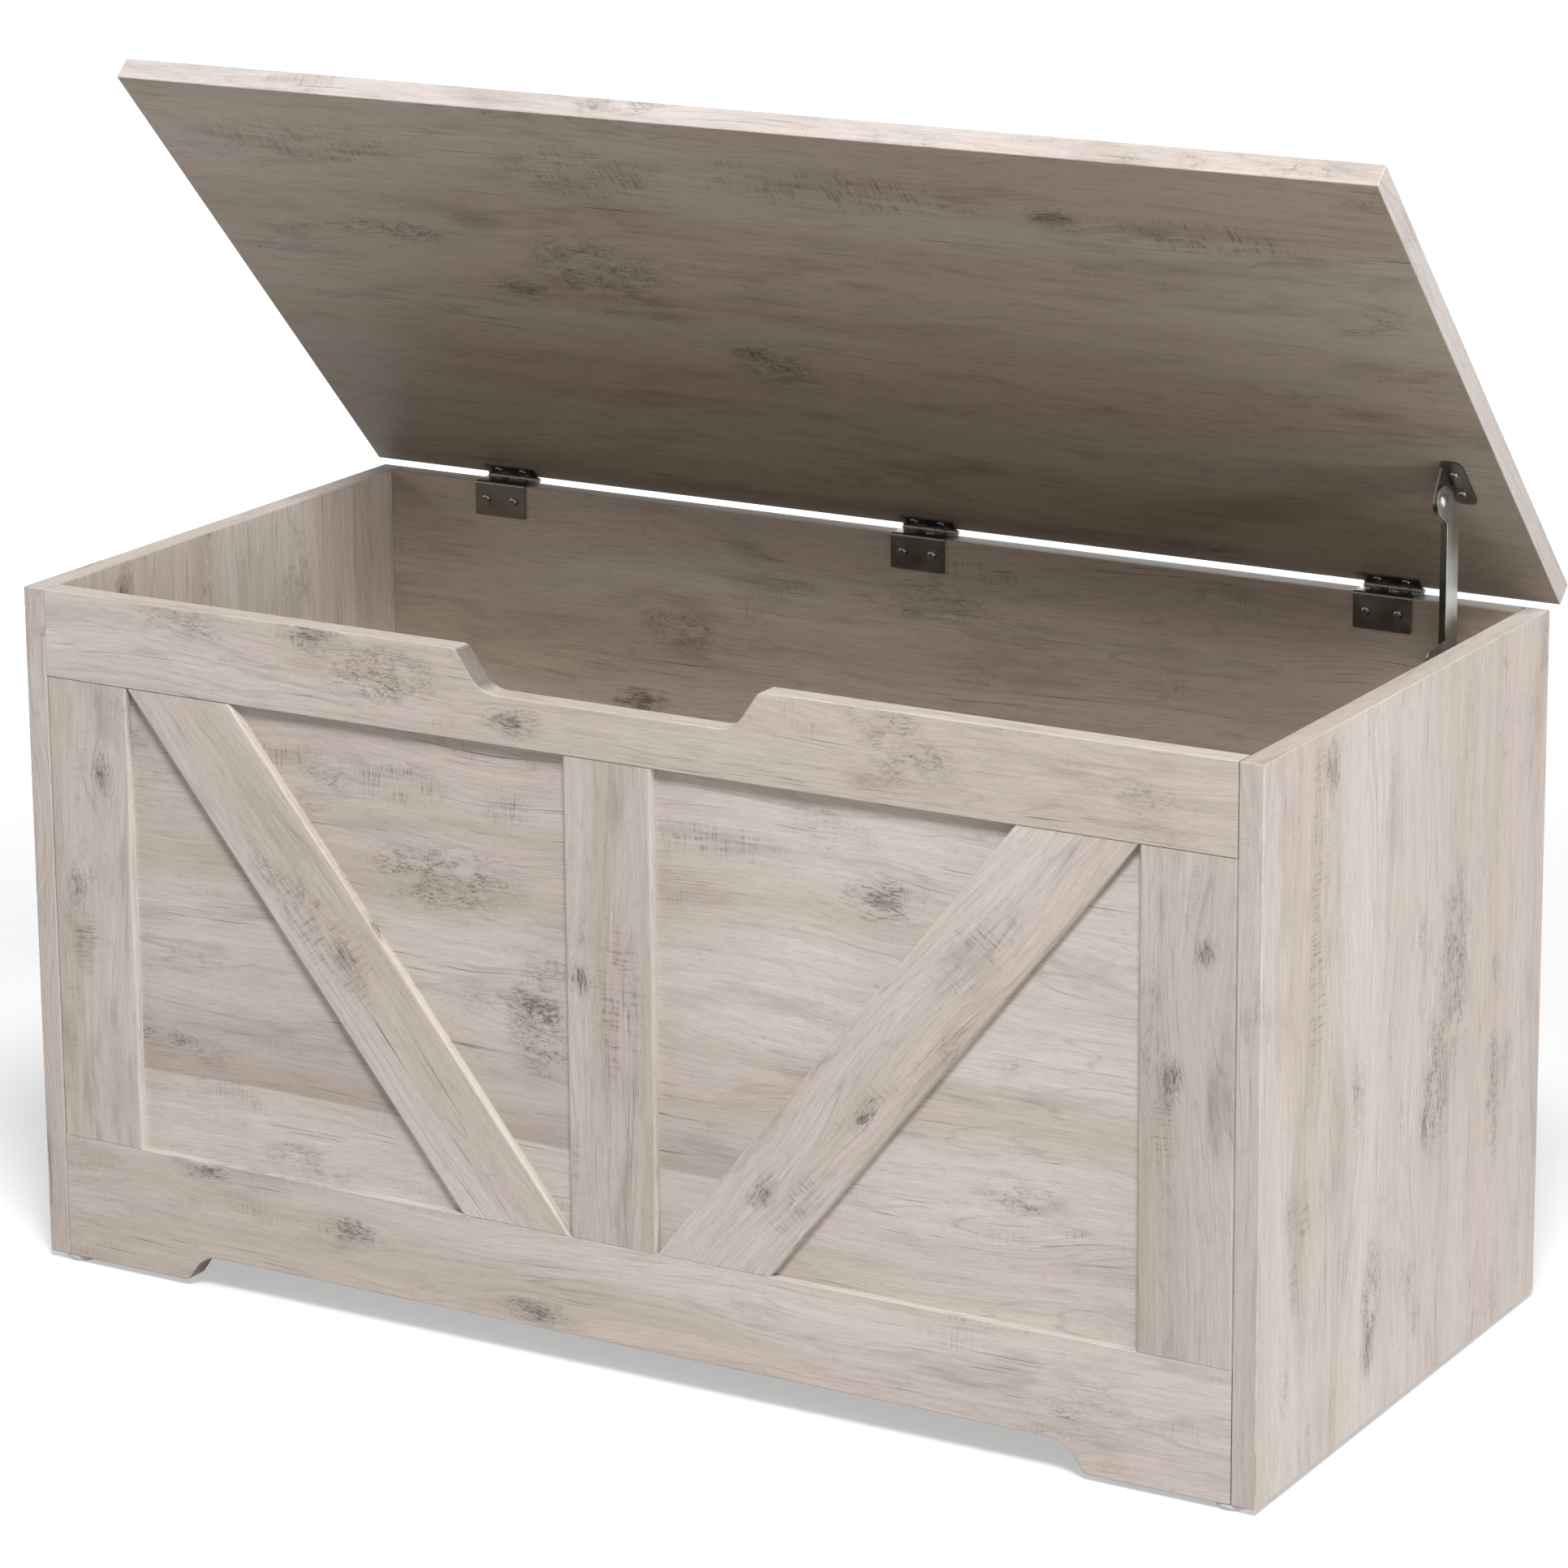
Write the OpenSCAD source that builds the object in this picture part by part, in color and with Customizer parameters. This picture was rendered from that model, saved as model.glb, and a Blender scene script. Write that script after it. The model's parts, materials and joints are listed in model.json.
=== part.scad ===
// Storage chest of wood-effect boards: panelled front with two diagonal braces, a lid on
// three leaf hinges, one folding friction stay at the right, and four plastic glides.
// Millimetres. +Z is up and the front faces -Y. The lid is drawn half open, as it rests.
// The origin is the middle of the footprint, level with the undersides of the glides.

/* [Body] */
// Width over the two side panels
body_w = 838; // [700:1:1000]
// Depth from the front rails to the rear of the back panel
body_d = 390; // [330:1:480]
// Height of the side panels
body_h = 430; // [380:1:520]
// Thickness of the boards
board_t = 15; // [14:0.5:18]
// Height of the bottom panel's underside above the side panels' lower ends
floor_up = 30; // [25:1:34]

/* [Front frame] */
// Height of the rail under the lid
top_rail_h = 55; // [50:1:70]
// Height of the rail at the floor
bottom_rail_h = 80; // [76:1:100]
// Width of the three upright strips
stile_w = 60; // [45:1:75]
// Width of the two diagonal strips, across the strip
brace_w = 60; // [45:1:75]
// Thickness of the upright and diagonal strips
strip_t = 5; // [4:0.5:6]
// Radius along the front edges of the strips
strip_r = 2; // [1:0.5:3]

/* [Finger notch and arch] */
// Width of the finger notch between its shoulders
notch_w = 212; // [150:1:260]
// Depth of the finger notch
notch_d = 25; // [18:1:30]
// Distance from the outer side to the start of the arch under the bottom rail
arch_in = 104; // [80:1:140]
// Rise of the arch
arch_rise = 18; // [15:1:24]
// Steepest slope of the curved shoulders, in degrees
ogee_slope = 55; // [45:1:60]
// Small radius at the outer end of each shoulder
ogee_foot_r = 6; // [3:1:8]
// Large radius at the inner end of each shoulder
ogee_turn_r = 20; // [12:1:22]

/* [Lid] */
// How far the lid passes the sides
lid_side_over = 6; // [2:1:15]
// How far the lid passes the front
lid_front_over = 10; // [4:1:20]
// Thickness of the lid
lid_t = 15; // [14:0.5:18]
// Angle at which the lid rests, up from closed
lid_open = 47.2; // [40:0.1:56]

/* [Hinges] */
// Width of each hinge
hinge_w = 38.5; // [32:0.5:45]
// Distance from the outer side to the middle of an end hinge
hinge_in = 102; // [70:1:140]
// How far the middle hinge sits left of the centre line
hinge_shift = 3; // [0:0.5:10]
// Thickness of the leaves
leaf_t = 0.9; // [0.8:0.1:1]
// Height of the fixed leaf's upright part
leaf_drop = 21.5; // [18:0.5:26]
// Reach of the moving leaf onto the lid
leaf_reach = 9.5; // [9:0.5:12]
// Diameter of the hinge pin
pin_d = 2; // [1.6:0.1:2]
// Outer diameter of the barrel
barrel_d = 3.6; // [3.4:0.1:3.8]
// Distance between the fixed leaf's two screws
body_screw_gap = 21; // [16:0.5:26]
// Distance from the top of the back panel down to those screws
body_screw_drop = 10.7; // [9:0.1:13]
// Distance between the moving leaf's two screws
lid_screw_gap = 19; // [16:0.5:24]

/* [Lid stay] */
// Distance from the lid's rear edge to the upper pivot
pivot_along = 121; // [115:0.5:126]
// Distance from the lid's underside down to the upper pivot
pivot_down = 15; // [14.5:0.5:16]
// Distance from the back panel to the lower pivot
hub_in = 12; // [12:0.5:18]
// Distance from the top of the side down to the lower pivot
hub_down = 87; // [84:0.5:90]
// Distance from the upper pivot to the knee at rest
upper_arm_l = 104; // [102:0.5:107]
// Distance from the lower pivot to the knee
lower_arm_l = 103; // [101:0.5:106]
// Width of the upper arm's strip
arm_w = 16.5; // [14:0.5:17.5]
// Distance from the upper pivot back to the front edge of the strip
arm_back = 5.8; // [4:0.1:7]
// Width of the lower arm
lower_arm_w = 16; // [14:0.5:18]
// Thickness of the arms' sheet steel
arm_t = 1.5; // [1.2:0.1:1.6]
// Depth of the rims along the upper arm
rim_h = 2.9; // [2:0.1:4]
// Diameter of the friction hub
hub_d = 24; // [22:0.5:24]

/* [Glides] */
// Diameter of the glides
glide_d = 21; // [17:0.5:21]
// Thickness of the glides
glide_t = 4; // [3:0.5:6]
// Distance from the outer side to the middle of a glide
glide_side = 18; // [17.5:0.5:24]
// Distance from the front and from the rear to the middle of a glide
glide_end = 10.5; // [10.5:0.5:12]

/* [Fasteners] */
// Diameter of the cam locks
cam_d = 15; // [12:1:16]
// Depth of the cam locks' holes
cam_depth = 12.5; // [12:0.5:13]
// Distance from a board's end to the middle of a cam lock
cam_in = 34; // [30:1:38]
// Diameter of the wooden dowels
dowel_d = 8; // [6:1:8]
// Diameter of the thin dowels that hold the front panel
thin_dowel_d = 6; // [4:1:6]
// Diameter of the screws
screw_d = 3; // [2.5:0.1:3.2]
// Length of the screws
screw_l = 12; // [10:0.5:13]

/* [Hidden] */
$fn = 48;

// Clearances: around a screw, dowel or rivet that is fixed, around a pin that turns, and
// between flat pieces that slide past each other
fit = 0.05;
run_fit = 0.04;
slide_gap = 0.3;
// How far a cutting shape passes the face that it opens
past = 1;

// Colours of the finishes
FRONT_WOOD = [0.77, 0.73, 0.68];
SIDE_WOOD = [0.84, 0.81, 0.78];
INNER_WOOD = [0.70, 0.66, 0.61];
DARK_STEEL = [0.24, 0.24, 0.25];
GREY_STEEL = [0.52, 0.55, 0.54];
BRIGHT_STEEL = [0.75, 0.76, 0.77];
PLAIN_WOOD = [0.80, 0.66, 0.46];
PALE_PLASTIC = [0.78, 0.76, 0.80];

// Faces of the body: outer and inner faces of the sides, inner face of the back panel
side_out = body_w / 2;
side_in = side_out - board_t;
back_in = body_d - board_t;
rail_mid = board_t / 2;
back_mid = body_d - board_t / 2;
field_low = bottom_rail_h;
field_high = body_h - top_rail_h;
field_h = field_high - field_low;
panel_t = board_t - strip_t;

// Braces run from corner to corner of a field and are cut level at the rails: brace_cut is
// the length of those cuts for the strip's true width, brace_turn its lean
brace_span = side_in - 1.5 * stile_w;
brace_sq = brace_w * brace_w;
brace_cut = (brace_w * sqrt(brace_sq * brace_span * brace_span
    + (field_h * field_h - brace_sq) * (brace_span * brace_span + field_h * field_h))
    - brace_sq * brace_span) / (field_h * field_h - brace_sq);
brace_turn = atan2(brace_span - brace_cut, field_h);

// Hinge axis: above and behind the back panel's rear edge, half way up the gap that the
// two leaves take between the boards
leaf_gap = 0.2;
lid_gap = 2 * leaf_t + leaf_gap;
lid_z = body_h + lid_gap;
barrel_r = barrel_d / 2;
barrel_gap = 0.2;
axis_y = body_d + barrel_r + barrel_gap;
axis_z = body_h + lid_gap / 2;
knuckles = 5;
knuckle_gap = 0.2;
knuckle_w = (hinge_w - (knuckles - 1) * knuckle_gap) / knuckles;
leaf_end = axis_y - barrel_r - slide_gap;
leaf_bend_r = 1.8;
lid_screw_y = body_d - leaf_reach / 2;
pin_end_t = 0.5;
pin_end_r = 1.5;
HINGE_X = [hinge_in - side_out, -hinge_shift, side_out - hinge_in];

// Where the open lid puts a point that is given as [y, z] with the lid closed
function swing(p) = [
    axis_y + (p[0] - axis_y) * cos(lid_open) + (p[1] - axis_z) * sin(lid_open),
    axis_z - (p[0] - axis_y) * sin(lid_open) + (p[1] - axis_z) * cos(lid_open)];

// The footprint at rest runs from the front of the body to the lid's rear upper edge
lid_back = swing([body_d, lid_z + lid_t]);
front_y = -max(body_d, lid_back[0]) / 2;

// Lid stay, seen along the side panel: pivots as [y, z], layers as distances inward from
// the side panel's inner face
pivot_shut = [body_d - pivot_along, lid_z - pivot_down];
pivot = swing(pivot_shut);
hub = [back_in - hub_in, body_h - hub_down];
reach = norm(hub - pivot);
toward = (hub - pivot) / reach;
knee_along = (upper_arm_l * upper_arm_l - lower_arm_l * lower_arm_l + reach * reach) / (2 * reach);
knee_aside = sqrt(upper_arm_l * upper_arm_l - knee_along * knee_along);
knee = pivot + knee_along * toward + knee_aside * [toward[1], -toward[0]];
slot_turn = atan2(pivot[1] - knee[1], pivot[0] - knee[0]);
wall_plate_t = 2;
wall_plate_w = 22;
wall_plate_l = 66;
wall_screw_gap = 46;
hub_t = 10;
lower_layer = wall_plate_t + hub_t + slide_gap;
lower_arm_t = arm_t + 0.5;
upper_layer = lower_layer + lower_arm_t + slide_gap;
flange_layer = upper_layer + arm_t + slide_gap;
bracket_t = 1.5;
bracket_w = 14.5;
bracket_l = 40.5;
bracket_r = 5;
bracket_side = flange_layer + bracket_t - bracket_w;
bracket_rear = body_d - pivot_along + 21.5;
bracket_front = bracket_rear - bracket_l;
bracket_screw_in = 11;
flange_r = 9;
pivot_rivet_d = 5;
knee_pin_d = 5;
wall_rivet_d = 6;
rivet_head_t = 1.6;
arm_head_r = 9;
rim_t = 2;

// Slot of the knee: the pin slides down and up by these amounts as the lid moves
slot_down = 4.8;
slot_up = 9.8;
slot_w = knee_pin_d + 0.6;
foot_rim = 4.6;
foot_r = slot_w / 2 + foot_rim;

// Neck of the upper arm: its rear edge lies just inside the line that the lid bracket's
// plate reaches when the lid is fully open
full_turn = 73;
neck_in = pivot_down - bracket_t - 0.5;
neck_out = [sin(full_turn), cos(full_turn)];
neck_run = [cos(full_turn), -sin(full_turn)];
neck_top = neck_in * neck_out;
neck_low = neck_top + 22.5 * neck_run;
strip_top = -15.2;
strip_shoulder = -21.5;
strip_low = 9;

// Screw heads and the cross recess in them
head_d = 5.5;
head_h = 1.8;
flat_head_h = 0.8;
recess_l = 3;
recess_w = 0.8;
recess_h = 0.9;
flat_recess_h = 0.4;
tip_l = 3;
tip_r = 0.3;

// Cam joints at the boards' ends as [y, z, turn about X]; the cam opens to the rear, or
// with a quarter turn to the floor
back_cam_low = 100;
back_cam_high = body_h - 100;
floor_cam_in = 80;
floor_mid = floor_up + board_t / 2;
bottom_cam_z = 62;
top_cam_z = body_h - top_rail_h / 2;
CAMS = [[back_mid, back_cam_low, 0], [back_mid, back_cam_high, 0], [rail_mid, top_cam_z, 0],
    [rail_mid, bottom_cam_z, 0], [board_t + floor_cam_in, floor_mid, -90],
    [back_in - floor_cam_in, floor_mid, -90]];
bolt_thread_d = 5;
bolt_thread_l = 10;
bolt_collar_d = 7;
bolt_collar_l = 2;
bolt_shaft_d = 3.5;
bolt_head_d = 6;
bolt_head_l = 3;
bolt_hole_d = 8;
cam_slack = 0.1;
cam_t = cam_depth - 0.5;

// Dowels at the boards' ends as [y, z, diameter, depth in the board's end]
dowel_in = 20;
dowel_in_side = 10;
dowel_off = 32;
rail_dowel_off = 17;
thin_dowel_in = 14;
dowel_slack = 0.5;
dowel_chamfer = 1;
panel_mid = strip_t + panel_t / 2;
DOWELS = [[back_mid, back_cam_low - dowel_off, dowel_d, dowel_in],
    [back_mid, back_cam_high + dowel_off, dowel_d, dowel_in],
    [rail_mid, top_cam_z - rail_dowel_off, dowel_d, dowel_in],
    [rail_mid, bottom_cam_z - dowel_off, dowel_d, dowel_in],
    [board_t + floor_cam_in + dowel_off, floor_mid, dowel_d, dowel_in],
    [back_in - floor_cam_in - dowel_off, floor_mid, dowel_d, dowel_in],
    [panel_mid, field_low + field_h / 4, thin_dowel_d, thin_dowel_in],
    [panel_mid, field_high - field_h / 4, thin_dowel_d, thin_dowel_in]];

// Glides: disc with a rounded lower edge and a nail whose head sits in a recess
glide_edge_r = 3;
nail_d = 2;
nail_l = 15;
nail_head_d = 7;
nail_head_t = 1;
nail_recess_h = 1.5;
arc_steps = 8;

// Shoulder curve from [0, 0] inward to its full rise: small arc, straight slope, large arc
ogee_turns = (ogee_foot_r + ogee_turn_r) * (1 - cos(ogee_slope));
function ogee_run(rise) = (ogee_foot_r + ogee_turn_r) * sin(ogee_slope)
    + (rise - ogee_turns) / tan(ogee_slope);
function ogee(rise) = concat(
    [for (i = [0:arc_steps]) let (a = ogee_slope * i / arc_steps)
        [ogee_foot_r * sin(a), ogee_foot_r * (1 - cos(a))]],
    [for (i = [0:arc_steps]) let (a = ogee_slope * (1 - i / arc_steps))
        [ogee_run(rise) - ogee_turn_r * sin(a), rise - ogee_turn_r * (1 - cos(a))]]);
function flip(points) = [for (i = [len(points) - 1:-1:0]) [-points[i][0], points[i][1]]];

// Point where a line from p touches the circle of radius r around c
function touch(p, c, r, side) =
    let (away = p - c, a = atan2(away[1], away[0]) + side * acos(r / norm(away)))
    c + r * [cos(a), sin(a)];

// Body pieces are drawn with x from the middle, y from the front and z from the lower ends
// of the side panels; lid pieces are drawn with the lid closed and then swung open
module in_body() {
    translate([0, front_y, glide_t]) children();
}

module in_lid() {
    in_body() translate([0, axis_y, axis_z]) rotate([-lid_open, 0, 0])
        translate([0, -axis_y, -axis_z]) children();
}

// A flat outline in x and z, given thickness toward the rear from y
module upright(y, t) {
    translate([0, y + t, 0]) rotate([90, 0, 0]) linear_extrude(t) children();
}

// A flat outline in y and z, given thickness inward from a layer beside the right side
module beside(layer, t) {
    translate([side_in - layer - t, 0, 0]) rotate([90, 0, 90]) linear_extrude(t) children();
}

// A round bar across the stay's layers, about a pivot
module across(layer, t, at, r) {
    translate([side_in - layer - t, at[0], at[1]]) rotate([0, 90, 0]) cylinder(h = t, r = r);
}

// Rounded rivet head on a layer of the stay: side 1 points to the side panel, -1 inward
module rivet_head(layer, side, t, at, r) {
    translate([side_in - layer, at[0], at[1]]) rotate([0, 90 * side, 0]) rotate_extrude()
        polygon(concat([[0, 0]], [for (i = [0:arc_steps]) let (a = 90 * i / arc_steps)
            [r * cos(a), t * sin(a)]]));
}

// Both ends of the body, the left one mirrored from the right
module both_ends() {
    children();
    mirror([1, 0, 0]) children();
}

// Cross-shaped recess cut into a screw's head from below
module cross_recess(depth) {
    for (turn = [0, 90])
        rotate([0, 0, turn]) translate([-recess_l / 2, -recess_w / 2, -past])
            cube([recess_l, recess_w, past + depth]);
}

// Screw that points up, with the underside of its head at z = 0
module screw(head_t, recess) {
    cylinder(h = screw_l - tip_l, r = screw_d / 2);
    translate([0, 0, screw_l - tip_l]) cylinder(h = tip_l, r1 = screw_d / 2, r2 = tip_r);
    difference() {
        translate([0, 0, -head_t]) rotate_extrude() screw_head(head_t);
        translate([0, 0, -head_t]) cross_recess(recess);
    }
}

// Half section of a pan head whose outer edge is rounded
module screw_head(head_t) {
    edge = head_t * 0.7;
    polygon(concat([[0, head_t], [0, 0]],
        [for (i = [0:arc_steps]) let (a = 90 * i / arc_steps)
            [head_d / 2 - edge + edge * sin(a), edge * (1 - cos(a))]],
        [[head_d / 2, head_t]]));
}

module screw_bore() {
    translate([0, 0, -past]) cylinder(h = screw_l + past + fit, r = screw_d / 2 + fit);
}

// Where the screws of each group sit, with their points up the bore
module at_body_leaf_screws() {
    for (x = HINGE_X, side = [-1, 1])
        translate([x + side * body_screw_gap / 2, back_in - leaf_t, body_h - body_screw_drop])
            rotate([-90, 0, 0]) children();
}

module at_lid_leaf_screws() {
    for (x = HINGE_X, side = [-1, 1])
        translate([x + side * lid_screw_gap / 2, lid_screw_y, lid_z - leaf_t]) children();
}

module at_wall_plate_screws() {
    for (side = [-1, 1])
        translate([side_in - wall_plate_t, hub[0], hub[1] + side * wall_screw_gap / 2])
            rotate([0, 90, 0]) children();
}

module at_bracket_screws() {
    for (y = [bracket_rear - bracket_screw_in, bracket_front + bracket_screw_in])
        translate([side_in - bracket_side - bracket_w / 2, y, lid_z - bracket_t]) children();
}

// Cam joint seen from its board's end: the cam opens toward +Y
module at_cams(which) {
    for (i = which)
        both_ends() translate([0, CAMS[i][0], CAMS[i][1]]) rotate([CAMS[i][2], 0, 0]) children();
}

module cam_hole() {
    translate([side_in - cam_in, board_t / 2 - cam_depth, 0]) rotate([-90, 0, 0])
        cylinder(h = cam_depth + past, r = cam_d / 2);
    translate([side_in - cam_in, 0, 0]) rotate([0, 90, 0])
        cylinder(h = cam_in + past, r = bolt_hole_d / 2);
}

module bolt_bore() {
    translate([side_in - past, 0, 0]) rotate([0, 90, 0])
        cylinder(h = past + bolt_thread_l + fit, r = bolt_thread_d / 2 + fit);
}

module at_dowels(which) {
    for (i = which)
        both_ends() translate([side_in - DOWELS[i][3], DOWELS[i][0], DOWELS[i][1]])
            rotate([0, 90, 0]) children();
}

// A dowel's hole, open at both ends of the dowel by a little slack
module dowel_bore(d, depth) {
    translate([0, 0, -dowel_slack])
        cylinder(h = depth + dowel_in_side + 2 * dowel_slack, r = d / 2 + fit);
}

module dowel_bores(which) {
    for (i = which)
        at_dowels([i]) dowel_bore(DOWELS[i][2], DOWELS[i][3]);
}

module at_glides() {
    for (y = [glide_end, body_d - glide_end])
        both_ends() translate([side_out - glide_side, y, -glide_t]) children();
}

module nail_bore() {
    translate([0, 0, nail_recess_h]) cylinder(h = nail_l + fit, r = nail_d / 2 + fit);
}

// Side panel on the right: one board, bored for bolts, dowels and the stay's screws
module side_board() {
    difference() {
        translate([side_in, 0, 0]) cube([board_t, body_d, body_h]);
        at_cams([0:len(CAMS) - 1]) bolt_bore();
        dowel_bores([0:len(DOWELS) - 1]);
    }
}

module side_panel_left() {
    color(SIDE_WOOD) in_body() mirror([1, 0, 0]) side_board();
}

module side_panel_right() {
    color(SIDE_WOOD) in_body() difference() {
        side_board();
        at_wall_plate_screws() screw_bore();
    }
}

module back_panel() {
    color(INNER_WOOD) in_body() difference() {
        translate([-side_in, back_in, 0]) cube([2 * side_in, board_t, body_h]);
        at_cams([0, 1]) cam_hole();
        dowel_bores([0, 1]);
        at_body_leaf_screws() screw_bore();
        at_glides() nail_bore();
    }
}

module bottom_panel() {
    color(INNER_WOOD) in_body() difference() {
        translate([-side_in, board_t, floor_up]) cube([2 * side_in, back_in - board_t, board_t]);
        at_cams([4, 5]) cam_hole();
        dowel_bores([4, 5]);
    }
}

// Recessed panel behind the strips, flush with the rails' inner faces
module front_panel() {
    color(FRONT_WOOD) in_body() difference() {
        translate([-side_in, strip_t, field_low]) cube([2 * side_in, panel_t, field_h]);
        dowel_bores([6, 7]);
    }
}

// Rail under the lid, with the finger notch in its upper edge
module top_rail() {
    shoulder = [for (p = ogee(notch_d)) [p[0] - notch_w / 2, body_h - p[1]]];
    color(FRONT_WOOD) in_body() difference() {
        upright(0, board_t) polygon(concat(
            [[side_in, body_h], [side_in, field_high], [-side_in, field_high], [-side_in, body_h]],
            shoulder, flip(shoulder)));
        at_cams([2]) cam_hole();
        dowel_bores([2]);
    }
}

// Rail at the floor, with the flat arch in its lower edge
module bottom_rail() {
    foot = [for (p = ogee(arch_rise)) [p[0] - side_out + arch_in, p[1]]];
    color(FRONT_WOOD) in_body() difference() {
        upright(0, board_t) polygon(concat(
            [[side_in, 0], [side_in, field_low], [-side_in, field_low], [-side_in, 0]],
            foot, flip(foot)));
        at_cams([3]) cam_hole();
        dowel_bores([3]);
        at_glides() nail_bore();
    }
}

// Section of a strip: flat at the back, rounded along both front edges
module strip_section(w) {
    polygon(concat([[w / 2, strip_t], [-w / 2, strip_t]],
        [for (i = [0:arc_steps]) let (a = 90 * i / arc_steps)
            [-w / 2 + strip_r * (1 - cos(a)), strip_r * (1 - sin(a))]],
        [for (i = [arc_steps:-1:0]) let (a = 90 * i / arc_steps)
            [w / 2 - strip_r * (1 - cos(a)), strip_r * (1 - sin(a))]]));
}

module stile(x) {
    color(FRONT_WOOD) in_body() translate([x, 0, field_low]) linear_extrude(field_h)
        strip_section(stile_w);
}

module stile_left() {
    stile(-side_in + stile_w / 2);
}

module stile_centre() {
    stile(0);
}

module stile_right() {
    stile(side_in - stile_w / 2);
}

// Diagonal strip of the left field, from its upper outer to its lower inner corner
module brace() {
    intersection() {
        translate([-side_in + stile_w + brace_span / 2, 0, field_low + field_h / 2])
            rotate([0, -brace_turn, 0]) translate([0, 0, -field_h])
                linear_extrude(2 * field_h) strip_section(brace_w);
        translate([-side_in, -past, field_low]) cube([side_in, strip_t + 2 * past, field_h]);
    }
}

module brace_left() {
    color(FRONT_WOOD) in_body() brace();
}

module brace_right() {
    color(FRONT_WOOD) in_body() mirror([1, 0, 0]) brace();
}

module glides() {
    color(PALE_PLASTIC) in_body() at_glides() difference() {
        rotate_extrude() polygon(concat([[0, glide_t], [0, 0]],
            [for (i = [0:arc_steps]) let (a = 90 * i / arc_steps)
                [glide_d / 2 - glide_edge_r * (1 - sin(a)), glide_edge_r * (1 - cos(a))]],
            [[glide_d / 2, glide_t]]));
        translate([0, 0, -past])
            cylinder(h = past + nail_recess_h, r = nail_head_d / 2 + fit);
        cylinder(h = glide_t + past, r = nail_d / 2 + fit);
    }
}

module glide_nails() {
    color(BRIGHT_STEEL) in_body() at_glides() translate([0, 0, nail_recess_h]) {
        cylinder(h = nail_l, r = nail_d / 2);
        translate([0, 0, -nail_head_t]) cylinder(h = nail_head_t, r = nail_head_d / 2);
    }
}

// Knuckles of one leaf, from the first given one, every second; a tongue of the leaf's
// own sheet joins each to the leaf
module knuckle_row(first, tongue_z) {
    for (i = [first:2:knuckles - 1])
        translate([i * (knuckle_w + knuckle_gap) - hinge_w / 2, 0, 0]) {
            translate([0, axis_y, axis_z]) rotate([0, 90, 0])
                cylinder(h = knuckle_w, r = barrel_r);
            translate([0, leaf_end - past, tongue_z])
                cube([knuckle_w, axis_y - leaf_end + past, leaf_t]);
        }
}

module pin_bore() {
    translate([-hinge_w, axis_y, axis_z]) rotate([0, 90, 0])
        cylinder(h = 2 * hinge_w, r = pin_d / 2 + run_fit);
}

// Section of the fixed leaf: down the back panel's inner face and over its upper edge
module leaf_section() {
    low = body_h - leaf_drop;
    front = back_in - leaf_t;
    top = body_h + leaf_t;
    polygon(concat([[back_in, low], [back_in, body_h], [leaf_end, body_h], [leaf_end, top]],
        [for (i = [0:arc_steps]) let (a = 90 * i / arc_steps)
            [front + leaf_bend_r * (1 - sin(a)), top - leaf_bend_r * (1 - cos(a))]],
        [[front, low]]));
}

module body_leaf(x) {
    color(DARK_STEEL) in_body() difference() {
        translate([x, 0, 0]) {
            translate([-hinge_w / 2, 0, 0]) rotate([90, 0, 90]) linear_extrude(hinge_w)
                leaf_section();
            knuckle_row(0, body_h);
        }
        translate([x, 0, 0]) pin_bore();
        at_body_leaf_screws() screw_bore();
        at_lid_leaf_screws() translate([0, 0, -lid_gap])
            cylinder(h = 2 * lid_gap, r = head_d / 2 + slide_gap);
    }
}

module hinge_body_leaf_left() {
    body_leaf(HINGE_X[0]);
}

module hinge_body_leaf_centre() {
    body_leaf(HINGE_X[1]);
}

module hinge_body_leaf_right() {
    body_leaf(HINGE_X[2]);
}

module lid_leaf(x) {
    color(DARK_STEEL) in_lid() difference() {
        translate([x, 0, 0]) {
            translate([-hinge_w / 2, body_d - leaf_reach, lid_z - leaf_t])
                cube([hinge_w, leaf_end - body_d + leaf_reach, leaf_t]);
            knuckle_row(1, lid_z - leaf_t);
        }
        translate([x, 0, 0]) pin_bore();
        at_lid_leaf_screws() screw_bore();
    }
}

module hinge_lid_leaf_left() {
    lid_leaf(HINGE_X[0]);
}

module hinge_lid_leaf_centre() {
    lid_leaf(HINGE_X[1]);
}

module hinge_lid_leaf_right() {
    lid_leaf(HINGE_X[2]);
}

// Hinge pins, spread at both ends so that they stay in the barrels
module hinge_pins() {
    color(BRIGHT_STEEL) in_body() for (x = HINGE_X)
        translate([x - hinge_w / 2, axis_y, axis_z]) rotate([0, 90, 0]) {
            cylinder(h = hinge_w, r = pin_d / 2);
            for (z = [-pin_end_t, hinge_w])
                translate([0, 0, z]) cylinder(h = pin_end_t, r = pin_end_r);
        }
}
module hinge_body_screws() {
    color(BRIGHT_STEEL) in_body() at_body_leaf_screws() screw(head_h, recess_h);
}

module hinge_lid_screws() {
    color(BRIGHT_STEEL) in_lid() at_lid_leaf_screws() screw(flat_head_h, flat_recess_h);
}

module lid_panel() {
    color(FRONT_WOOD) in_lid() difference() {
        translate([-side_out - lid_side_over, -lid_front_over, lid_z])
            cube([body_w + 2 * lid_side_over, body_d + lid_front_over, lid_t]);
        at_lid_leaf_screws() screw_bore();
        at_bracket_screws() screw_bore();
    }
}

// Bar with round ends between two points of the stay's plane
module bar_outline(a, b, r) {
    along = b - a;
    translate(a) circle(r = r);
    translate(b) circle(r = r);
    translate(a) rotate(atan2(along[1], along[0])) translate([0, -r]) square([norm(along), 2 * r]);
}

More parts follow.
